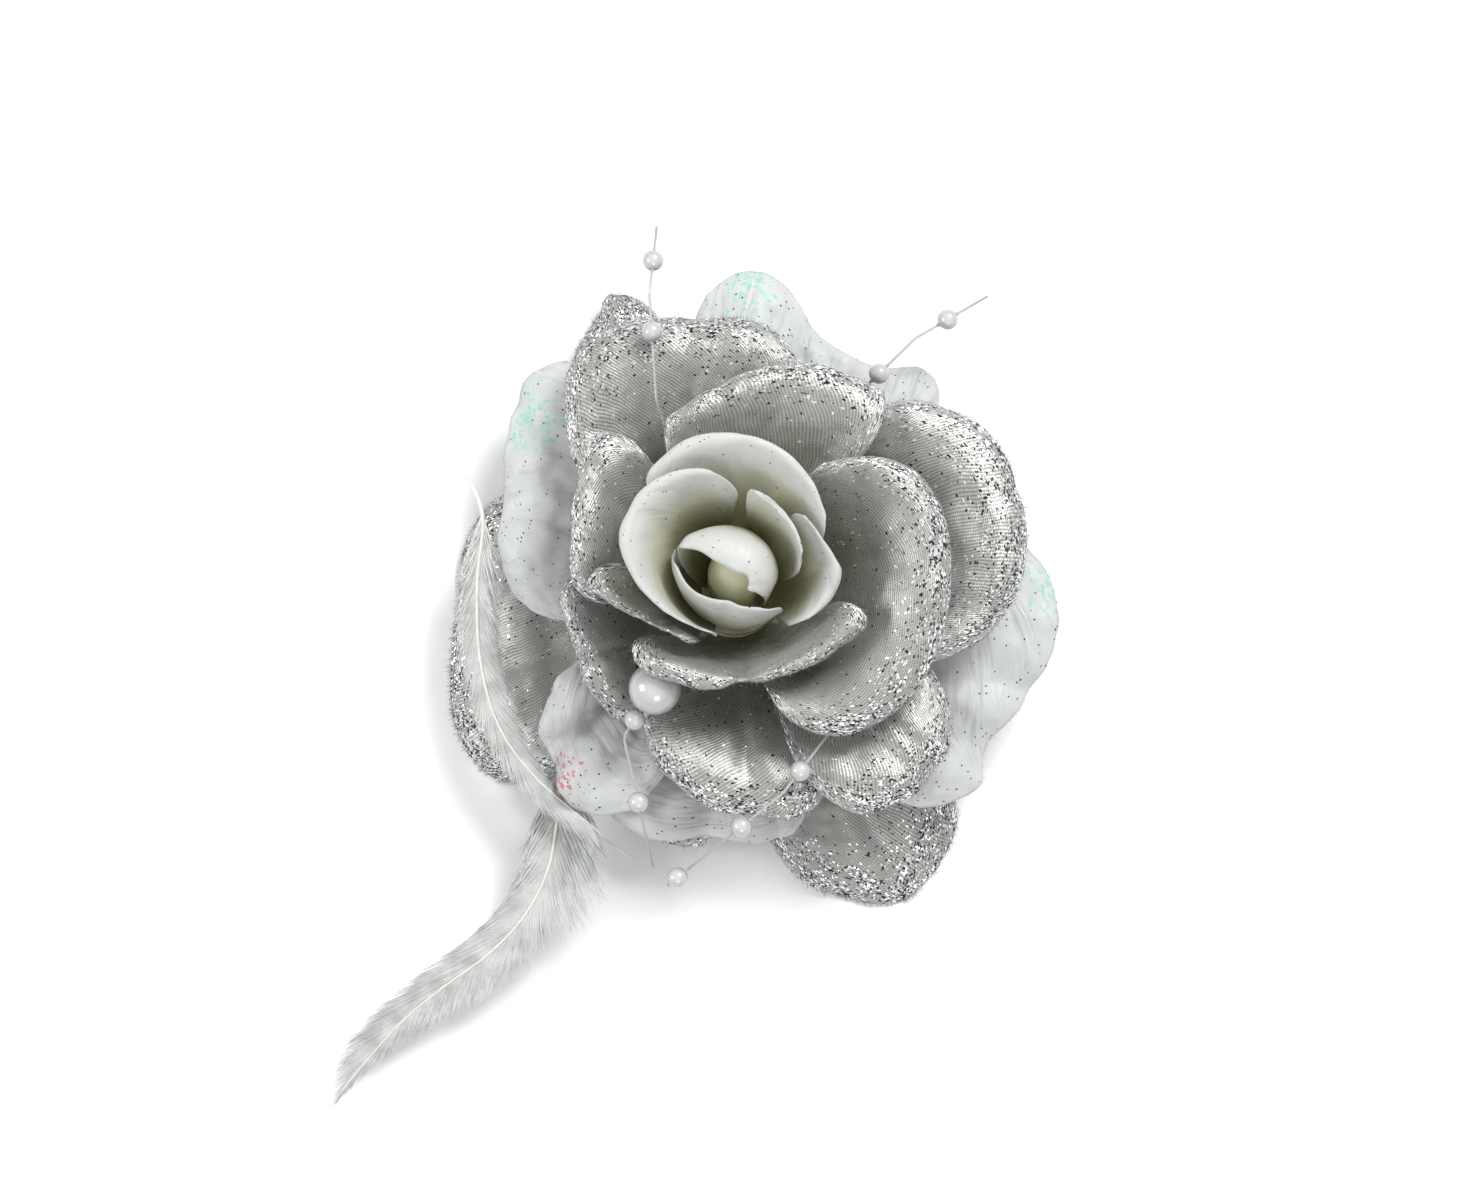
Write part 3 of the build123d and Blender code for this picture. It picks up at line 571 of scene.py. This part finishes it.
# ---- White satin petals -----------------------------------------------------------------------------------
# A thin, half-clear grey-white satin between the two silver layers.  Light comes through it, its weave shows
# faintly, and some carry dark specks and aqua or pink flecks.  Each foot stands just off the core.
def satin_finish(name, low, high, painted_shade_colour, speck_share, crease, spots):
    """Satin with a faint weave, painted shade towards the foot, dark specks and coloured flecks."""
    satin, nodes, links, shader = new_material(name, high, 0.42, Sheen_Weight=0.35, Sheen_Roughness=0.4)
    thread = nodes.new("ShaderNodeUVMap")
    thread.uv_map = "thread_map"
    scale = add_node(nodes, "Mapping", Scale=(100, 100, 100))
    links.new(thread.outputs["UV"], scale.inputs["Vector"])
    cloth = scale.outputs["Vector"]
    warp = add_node(nodes, "TexWave", Scale=0.9, Distortion=0.8)
    weft = add_node(nodes, "TexWave", Scale=0.9, Distortion=0.8)
    weft.bands_direction = "Y"
    cloud = add_node(nodes, "TexNoise", Scale=0.25, Detail=5)
    cells = add_node(nodes, "TexVoronoi", Scale=1.7)
    for texture in (warp, weft, cloud, cells):
        links.new(cloth, texture.inputs["Vector"])
    fleck = nodes.new("ShaderNodeSeparateColor")
    links.new(cells.outputs["Color"], fleck.inputs["Color"])
    root = nodes.new("ShaderNodeAttribute")
    root.attribute_name = "root"
    rim = nodes.new("ShaderNodeAttribute")
    rim.attribute_name = "rim"
    weave = number(nodes, links, "MULTIPLY_ADD", warp.outputs["Fac"], 0.5,
                   number(nodes, links, "MULTIPLY", weft.outputs["Fac"], 0.5))
    tone = number(nodes, links, "MULTIPLY_ADD", weave, 0.35,
                  number(nodes, links, "MULTIPLY", cloud.outputs["Fac"], 0.75))
    colour = blend(nodes, links, tone, low, high)
    # Painted shade: towards each petal's foot, deep in the bloom, the satin darkens to the shade colour.
    fold = add_node(nodes, "MapRange", From_Min=0.25, From_Max=0.7, To_Max=0.8)
    links.new(root.outputs["Fac"], fold.inputs["Value"])
    colour = blend(nodes, links, fold.outputs["Result"], colour, painted_shade_colour)
    reach = number(nodes, links, "MULTIPLY_ADD", rim.outputs["Fac"], 0.7, 0.3)
    specks = number(nodes, links, "LESS_THAN", fleck.outputs["Red"],
                    number(nodes, links, "MULTIPLY", reach, speck_share))
    small = number(nodes, links, "LESS_THAN", cells.outputs["Distance"], 0.30)
    specks = number(nodes, links, "MULTIPLY", specks, small)
    colour = blend(nodes, links, specks, colour, (0.03, 0.03, 0.03))
    place = nodes.new("ShaderNodeTexCoord")
    for centre, reach, fleck_share, tint in spots:
        away = nodes.new("ShaderNodeVectorMath")
        away.operation = "DISTANCE"
        away.inputs[1].default_value = Vector(centre) * MM
        links.new(place.outputs["Object"], away.inputs[0])
        fading = add_node(nodes, "MapRange", From_Max=reach * MM, To_Min=fleck_share, To_Max=0)
        links.new(away.outputs["Value"], fading.inputs["Value"])
        flecks = number(nodes, links, "LESS_THAN", fleck.outputs["Green"], fading.outputs["Result"])
        colour = blend(nodes, links, flecks, colour, tint)
    links.new(colour, shader.inputs["Base Color"])
    relief = add_node(nodes, "Bump", Strength=0.25, Distance=0.05 * MM)
    links.new(weave, relief.inputs["Height"])
    lengthwise = add_node(nodes, "Mapping", Scale=(1.0, 0.16, 1))
    gathers = add_node(nodes, "TexNoise", Scale=0.30, Detail=3, Distortion=0.5)
    creases = add_node(nodes, "Bump", Strength=crease, Distance=2.0 * MM)
    links.new(cloth, lengthwise.inputs["Vector"])
    links.new(lengthwise.outputs["Vector"], gathers.inputs["Vector"])
    links.new(gathers.outputs["Fac"], creases.inputs["Height"])
    links.new(creases.outputs["Normal"], relief.inputs["Normal"])
    links.new(relief.outputs["Normal"], shader.inputs["Normal"])
    through = nodes.new("ShaderNodeBsdfTranslucent")
    links.new(colour, through.inputs["Color"])
    both = add_node(nodes, "MixShader", Fac=0.38)
    links.new(shader.outputs["BSDF"], both.inputs[1])
    links.new(through.outputs["BSDF"], both.inputs[2])
    links.new(both.outputs["Shader"], nodes["Material Output"].inputs["Surface"])
    return satin


aqua = (0.45, 0.78, 0.70)
pink = (0.74, 0.32, 0.36)
fleck_spots = [((2, 60, 19), 9, 0.42, aqua), ((-41, 35, 18), 9, 0.42, aqua), ((60, 1, 17), 9, 0.36, aqua),
               ((-33, -35, 20), 5, 0.7, pink)]
# The third colour is the painted shade towards each petal's foot.
white_satin = satin_finish("white_satin", (0.60, 0.62, 0.62), (0.88, 0.89, 0.89), (0.52, 0.53, 0.48), 0.07,
                           0.7, fleck_spots)
floating = dict(corner=0.12, ruffle=1.7, waves=7, pleats=6, pleat=1.0, crumple=0.8, lip=0.5, scallop=0.8)
creased = dict(floating, pleats=8, pleat=1.2, crumple=1.6, scallop=1.6)
white_petals = {
    "white_outer_1": ([(106, 44, 9), (98, 56, 10), (92, 62, 10), (84, 64, 10), (75, 59, 9), (66, 54, 8),
                       (58, 54, 8), (50, 58, 8), (43, 55, 8), (34, 42, 8)], 3.4, (24, 5.4), 0.38, 6),
    "white_outer_2": ([(112, 42, 8), (124, 56, 8), (133, 59, 8), (143, 56, 8), (155, 51, 8), (168, 47, 8),
                       (180, 43, 7), (193, 36, 7)], 3.4, (24, 5.4), 0.38, 6),
    "white_outer_3": ([(24, 44, 8), (13, 55, 8), (3, 62, 8), (352, 63, 8), (341, 61, 7), (331, 58, 6),
                       (322, 61, 6), (312, 56, 6), (304, 48, 6), (297, 40, 6)], 4.2, (24, 6.2), 0.38, 7),
    "white_outer_4": ([(200, 32, 10), (209, 40, 12), (217, 47, 12), (226, 51, 10), (235, 52, 9),
                       (244, 48, 9), (252, 38, 10)], 4.2, (20, 5.8), 0.42, 5),
    "white_outer_5": ([(230, 38, 1), (238, 48, 3), (250, 50, 4), (264, 49, 5), (278, 49, 5), (286, 47, 4),
                       (293, 40, 2)], 2.6, (24, 4.6), 0.38, 5),
}
for seed, (name, (edge, foot_height, belly, set_back, rise)) in enumerate(white_petals.items()):
    habit = creased if name == "white_outer_4" else floating
    sew_petal(name, petal_rows(edge, (core_glue_radius, foot_height), belly, set_back, rise), habit,
              white_satin, seed + 31, weave_turn=25 * seed, frayed=0.6)


# ---- Bud: rolled ivory petals round a folded heart --------------------------------------------------------
# The same satin in ivory, doubled and rolled outwards at the lips, with olive shade down in the folds.  The
# heart's cap is folded over the top of the core.  Each foot stands just off the core's neck.
# The third colour, an olive, is the painted shade down in the bud's folds.
ivory_satin = satin_finish("ivory_satin", (0.68, 0.69, 0.66), (0.86, 0.87, 0.86), (0.56, 0.54, 0.28), 0.05,
                           0.3, [])
rolled = dict(corner=0.2, ruffle=0.35, waves=2.5, pleats=1, pleat=0.25, crumple=0.22, lip=0.5, scallop=0.3)
bud_petals = {
    "bud_outer_1": ([(146, 22, 35), (134, 23.5, 41), (112, 24, 45), (90, 23.5, 46), (70, 22.5, 46),
                     (50, 21, 44), (30, 19.5, 41), (12, 18.8, 37)], 13, (15, 17), 0.62, 6),
    "bud_outer_2": ([(84, 14.5, 43), (108, 17.5, 45), (130, 20.5, 45), (150, 22, 44), (170, 22, 43),
                     (190, 19.5, 41), (212, 16.5, 39), (236, 14, 36), (258, 12.8, 33)],
                    14, (13.2, 20), 0.62, 6),
    "bud_outer_3": ([(44, 15, 40), (30, 16, 40), (14, 17.4, 39), (358, 20, 37), (345, 19.4, 34),
                     (330, 17.5, 32), (314, 15.5, 30)], 14, (13.6, 19), 0.6, 5),
    "bud_inner_1": ([(82, 13.6, 44), (68, 13, 44), (50, 12.6, 43), (30, 12.6, 42), (12, 12.6, 41),
                     (354, 12.2, 39)], 14.8, (12, 24), 0.4, 4),
    "bud_inner_2": ([(156, 12.4, 37), (176, 11.4, 37), (195, 10.4, 37), (213, 9.2, 36.5), (233, 7.9, 36),
                     (257, 7.3, 36), (282, 8.3, 36), (306, 9.9, 35.5), (326, 11.2, 35)],
                    15.1, (12, 23.4), 0.3, -3),
}
for seed, (name, (edge, foot_height, belly, set_back, rise)) in enumerate(bud_petals.items()):
    sew_petal(name, petal_rows(edge, (neck_glue_radius, foot_height), belly, set_back, rise, 0.8), rolled,
              ivory_satin, seed + 51, weave_turn=20 * seed)

heart_rows = [
    [(-5.6, -0.5, 15.5), (-5.2, 3, 15.5), (-2, 5.4, 15.5), (1.8, 5.4, 15.5), (4.6, 3.4, 15.5),
     (5.7, -0.4, 15.5), (4.2, -4, 15.5)],
    [(-10, -0.5, 27), (-9.6, 5.6, 27), (-3.6, 10, 27), (3, 9.6, 27), (7.8, 5.4, 27), (9.4, -0.6, 27),
     (7, -6, 27)],
    [(-11.4, 3.4, 38.5), (-9.6, 8, 41), (-3.6, 9.6, 43), (2.2, 8.6, 44), (7, 4.8, 43), (8.4, -0.2, 41),
     (6.2, -5.2, 38.5)],
    [(-11, 3, 38.2), (-7, 2.2, 40), (-3.6, 0, 41), (-0.4, -1.8, 41), (2, -2.6, 40.5), (2.6, -4, 39.4),
     (1.8, -5.6, 38)],
]
heart = [[Vector((x, y, felt_top + z)) for x, y, z in row] for row in heart_rows]
folded = dict(rolled, corner=0.08, pleats=0, lip=0.25, scallop=0.1)
sew_petal("bud_heart", heart, folded, ivory_satin, 61)


# ---- Pearl sprays: nylon stems, beads and the large pearl -------------------------------------------------
# Clear nylon monofilament, stiff enough to stand by itself, threaded with drilled imitation pearls, the small
# ones with a drop of glue at each end.  Stems 1, 2 and 4 end just off the core.  Stem 3, with the largest
# pearl on its end, isn't joined to anything.
nylon, nodes, links, shader = new_material("clear_nylon", (0.62, 0.63, 0.62), 0.12, IOR=1.53,
                                           Transmission_Weight=0.4)
drawn = add_node(nodes, "TexNoise", Scale=600)
drawn_range = add_node(nodes, "MapRange", To_Min=0.05, To_Max=0.25)
links.new(nodes.new("ShaderNodeTexCoord").outputs["Object"], drawn.inputs["Vector"])
links.new(drawn.outputs["Fac"], drawn_range.inputs["Value"])
links.new(drawn_range.outputs["Result"], shader.inputs["Roughness"])

pearl, nodes, links, shader = new_material("pearl_lacquer", (0.60, 0.60, 0.59), 0.22, Coat_Weight=0.9,
                                           Coat_Roughness=0.08, Specular_IOR_Level=0.7)
# Beads darker towards the rim as seen: partly nacre's grey at grazing angles, partly painted rim shade.
view_angle = add_node(nodes, "LayerWeight", Blend=0.45)
nacre_and_rim_shade = two_tone(nodes, (0.56, 0.57, 0.56), (0.20, 0.22, 0.22))
lacquer_cloud = add_node(nodes, "TexNoise", Scale=500, Detail=3)
links.new(nodes.new("ShaderNodeTexCoord").outputs["Object"], lacquer_cloud.inputs["Vector"])
links.new(view_angle.outputs["Facing"], nacre_and_rim_shade.inputs["Fac"])
cloud_share = number(nodes, links, "MULTIPLY", lacquer_cloud.outputs["Fac"], 0.22)
links.new(blend(nodes, links, cloud_share, nacre_and_rim_shade.outputs["Color"], (0.66, 0.62, 0.61)),
          shader.inputs["Base Color"])

stem_radius = 0.25
stem_bend = 3.0
bead_radius = 2.0
large_pearl_radius = 5.0
hole_radius = 0.35
drop_radii = [0.36, 0.40, 0.38, 0.34, 0.30, 0.26]
drop_start = 1.78        # from the pearl's middle, just inside its hole
drop_step = 0.16
sprays = {
    "spray_1": ([(-3.8, 8.2, 8.2), (-8, 17, 11.3), (-12, 26, 18), (-15, 34, 26), (-16.3, 54, 29.5),
                 (-15, 68, 27.5)], [(3, 0.65), (4, 0.5)]),
    "spray_2": ([(4.8, 7.6, 7), (13, 20, 9.5), (20, 31, 14), (25, 38.5, 17.3), (35, 48, 19.5),
                 (49, 56, 21)], [(3, 0.3), (4, 0.45)]),
    "spray_3": ([(-15, -21.5, 26), (-21, -30.2, 22.1), (-15.5, -54, 14)], [(0, 0.64), (1, 0.5)]),
    "spray_4": ([(4.8, -7.6, 9), (10, -14.5, 11.5), (14, -21, 14.5), (18.5, -28.5, 21.5), (9, -41, 23),
                 (-12.6, -57.3, 13)], [(3, 0.65), (4, 0.36), (4, 0.92)]),
}


def rounded(points, radius, arc_steps=8):
    """Straight runs joined by arcs, as a list of points."""
    route = [points[0]]
    for before, corner, after in zip(points, points[1:], points[2:]):
        to_before = (before - corner).normalized()
        to_after = (after - corner).normalized()
        half = to_before.angle(to_after) / 2
        trim = radius / math.tan(half)
        centre = corner + (to_before + to_after).normalized() * (radius / math.sin(half))
        start = corner + to_before * trim - centre
        end = corner + to_after * trim - centre
        sweep = start.angle(end)
        for i in range(arc_steps + 1):
            f = i / arc_steps
            arm = (start * math.sin((1 - f) * sweep) + end * math.sin(f * sweep)) / math.sin(sweep)
            route.append(centre + arm)
    route.append(points[-1])
    return route


def drilled_ball(bm, centre, axis, radius, hole):
    """A ball with a hole along its axis and rounded lips, turned from half a section."""
    axis = axis.normalized()
    side = axis.orthogonal().normalized()
    lip = 0.12
    start = math.asin((hole + lip) / radius)
    mouth = radius * math.cos(start)
    arc = [start + (math.pi - 2 * start) * i / 40 for i in range(41)]
    section = [(radius * math.sin(angle), radius * math.cos(angle)) for angle in arc]
    section += [(hole, -mouth + lip), (hole, mouth - lip)]
    corners = [bm.verts.new((centre + side * r + axis * z) * MM) for r, z in section]
    wires = [bm.edges.new((a, b)) for a, b in zip(corners, corners[1:] + corners[:1])]
    bmesh.ops.spin(bm, geom=corners + wires, cent=centre * MM, axis=axis, angle=math.tau, steps=64,
                   use_merge=True)
    bmesh.ops.recalc_face_normals(bm, faces=bm.faces)


for name, (spray_route, beaded) in sprays.items():
    points = [Vector((x, y, felt_top + z)) for x, y, z in spray_route]
    stem_route = rounded(points, stem_bend)
    bm = bmesh.new()
    sweep_tube(bm, stem_route, [stem_radius] * len(stem_route), 12)
    stem = finish_mesh(f"{name}_stem", bm, nylon)
    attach(stem, "flower")
    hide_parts(name)

    bm = bmesh.new()
    strung = []
    for run, share in beaded:
        along_run = points[run + 1] - points[run]
        strung.append((points[run] + along_run * share, along_run))
        drilled_ball(bm, *strung[-1], bead_radius, hole_radius)
    beads = finish_mesh(f"{name}_pearls", bm, pearl)
    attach(beads, "flower")
    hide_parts(f"{name}_beads")

    bm = bmesh.new()
    for centre, along_run in strung:
        for end in (-1, 1):
            drop = [centre + along_run.normalized() * end * (drop_start + drop_step * i) for i in range(6)]
            sweep_tube(bm, drop, drop_radii, 12)
    drops = finish_mesh(f"{name}_glue_drops", bm, nylon)
    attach(drops, "flower")
    if name == "spray_3":
        bm = bmesh.new()
        drilled_ball(bm, points[0], points[1] - points[0], large_pearl_radius, hole_radius)
        large_pearl = finish_mesh("large_pearl_ball", bm, pearl)
        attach(large_pearl, "flower")
        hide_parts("large_pearl")


# ---- Feathers ---------------------------------------------------------------------------------------------
# Two bleached feathers.  Each has a pale tapering quill with fine barbs standing out on both sides, the barbs
# at the root soft and curled.  The long quill ends just off the core; the short one isn't joined to anything.
barb_finish = grain_finish("feather_barbs", (0.52, 0.53, 0.53), 0.55, dict(Scale=260, Detail=3),
                           (0.66, 0.67, 0.66), (0.93, 0.94, 0.93), (0.3, 0.62), Sheen_Weight=0.3)
nodes, links = barb_finish.node_tree.nodes, barb_finish.node_tree.links
glow = add_node(nodes, "BsdfTranslucent", Color=(0.90, 0.91, 0.90, 1))
through = add_node(nodes, "MixShader", Fac=0.5)
links.new(nodes["Principled BSDF"].outputs["BSDF"], through.inputs[1])
links.new(glow.outputs["BSDF"], through.inputs[2])
links.new(through.outputs["Shader"], nodes["Material Output"].inputs["Surface"])

quill_horn = grain_finish("quill_horn", (0.72, 0.72, 0.66), 0.28, dict(Scale=350), (0.56, 0.56, 0.50),
                          (0.82, 0.82, 0.78), Subsurface_Weight=0.25,
                          Subsurface_Radius=(0.001, 0.001, 0.0008))

# Level and slope set the vane's plane.  Bare is how many points of the quill carry no barbs.  Downy is the
# share of the vane whose barbs curl, and thin the share of barbs that are missing.
feathers = {
    "feather_short": dict(
        level=6.0, slope=(0, 0), hidden_quill=[], bare=1, downy=0.35, thin=0.0,
        quill=[(-54, 26), (-49.5, 16), (-50.3, 2), (-49.5, -13), (-45.7, -26), (-38.5, -36), (-28, -45)],
        left=[(-49, 15), (-53, 5), (-53.5, -12), (-49, -28), (-39, -41), (-25, -51)],
        right=[(-45, 11), (-46.5, 1), (-45.5, -13), (-41, -27), (-33, -40.5), (-20.5, -51.5)],
    ),
    "feather_long": dict(
        level=7.0, slope=(0.07, 0.088), hidden_quill=[(-6.4, -6.4, 3.2), (-20, -19, 3.9)], bare=0,
        downy=0.3, thin=0.0,
        quill=[(-33, -31), (-34.5, -42), (-36.5, -53), (-41, -62), (-48, -69.5), (-57, -76), (-65, -82.5),
               (-71.5, -89.5), (-77, -96)],
        left=[(-34, -34), (-40, -45), (-43, -56), (-51, -65.5), (-64, -75), (-73.5, -84), (-77, -91),
              (-78, -98)],
        right=[(-31, -35), (-27, -47), (-28.5, -60), (-37, -69), (-47, -77.5), (-57, -82.5), (-67, -88.5),
               (-78, -98)],
    ),
}
barb_pitch = 0.14
barb_half_width = 0.15
barb_thickness = 0.06
quill_radius = 0.42
quill_taper = 0.30
feather_seed = 7
pick = random.Random(feather_seed)
noise.seed_set(feather_seed)

for name, feather in feathers.items():
    slope_x, slope_y = feather["slope"]
    x_way = Vector((1, 0, slope_x)).normalized()
    z_way = Vector((-slope_x, -slope_y, 1)).normalized()
    y_way = z_way.cross(x_way)
    start = Vector((0, 0, felt_top + feather["level"]))

    def on_vane(x, y, height):
        """Point over the feather's tilted plane."""
        return start + x_way * x + y_way * y + z_way * height

    quill_line = [on_vane(x, y, 0.8) for x, y in feather["quill"]]
    hidden = [Vector((x, y, felt_top + z)) for x, y, z in feather["hidden_quill"]]
    shaft_row = hidden + quill_line
    shaft = [along(shaft_row, i / 120) for i in range(121)]
    bm = bmesh.new()
    sweep_tube(bm, shaft, [quill_radius - quill_taper * (i / 120) ** 1.3 for i in range(121)], 10)
    quill = finish_mesh(f"{name}_shaft", bm, quill_horn)
    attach(quill, "flower")
    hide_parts(f"{name}_quill")

    barbed = quill_line[feather["bare"]:]
    length = sum((b - a).length for a, b in zip(barbed, barbed[1:]))
    bm = bmesh.new()
    for side_name in ("left", "right"):
        vane_edge = [on_vane(x, y, 0.2) for x, y in feather[side_name]]
        count = round(length / barb_pitch)
        for i in range(count):
            share = i / count
            if pick.random() < feather["thin"]:
                continue
            base = along(shaft_row, (len(hidden) + feather["bare"] + share * (len(barbed) - 1))
                         / (len(shaft_row) - 1))
            downy = ease(feather["downy"], 0, share)
            sweep_ahead = 0.11 + 0.06 * pick.random()
            tip = along(vane_edge, min(share + sweep_ahead, 1))
            reach = 0.80 + 0.28 * pick.random() + 0.35 * downy * pick.random()
            tip = base + (tip - base) * reach
            tip += z_way * (0.5 * (pick.random() - 0.5) + 2.0 * downy * (pick.random() - 0.4))
            ahead = along(barbed, min(share + 0.04, 1)) - along(barbed, share)
            control = base + (tip - base) * 0.5 + ahead.normalized() * 0.10 * (tip - base).length
            control += z_way * 0.3
            across = z_way.cross(tip - base).normalized()
            ribbon = bmesh.ops.create_grid(bm, x_segments=1, y_segments=6, size=1.0)["verts"]
            for vert in ribbon:
                f = (vert.co.y + 1) / 2
                point = base * (1 - f) ** 2 + control * (2 * f * (1 - f)) + tip * f * f
                point += noise.noise_vector(Vector((i * 0.37, f * 3, 0))) * (downy * 1.6 + 0.12) * f
                point += across * vert.co.x * barb_half_width * (1 - 0.85 * f**3)
                point.z = max(point.z, thread_clearance)
                vert.co = point * MM
    barbs = finish_mesh(f"{name}_barbs", bm, barb_finish)
    barb_body = barbs.modifiers.new("barb_thickness", "SOLIDIFY")
    barb_body.thickness = barb_thickness * MM
    barb_body.offset = 0
    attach(barbs, "flower")
    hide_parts(f"{name}_vane")
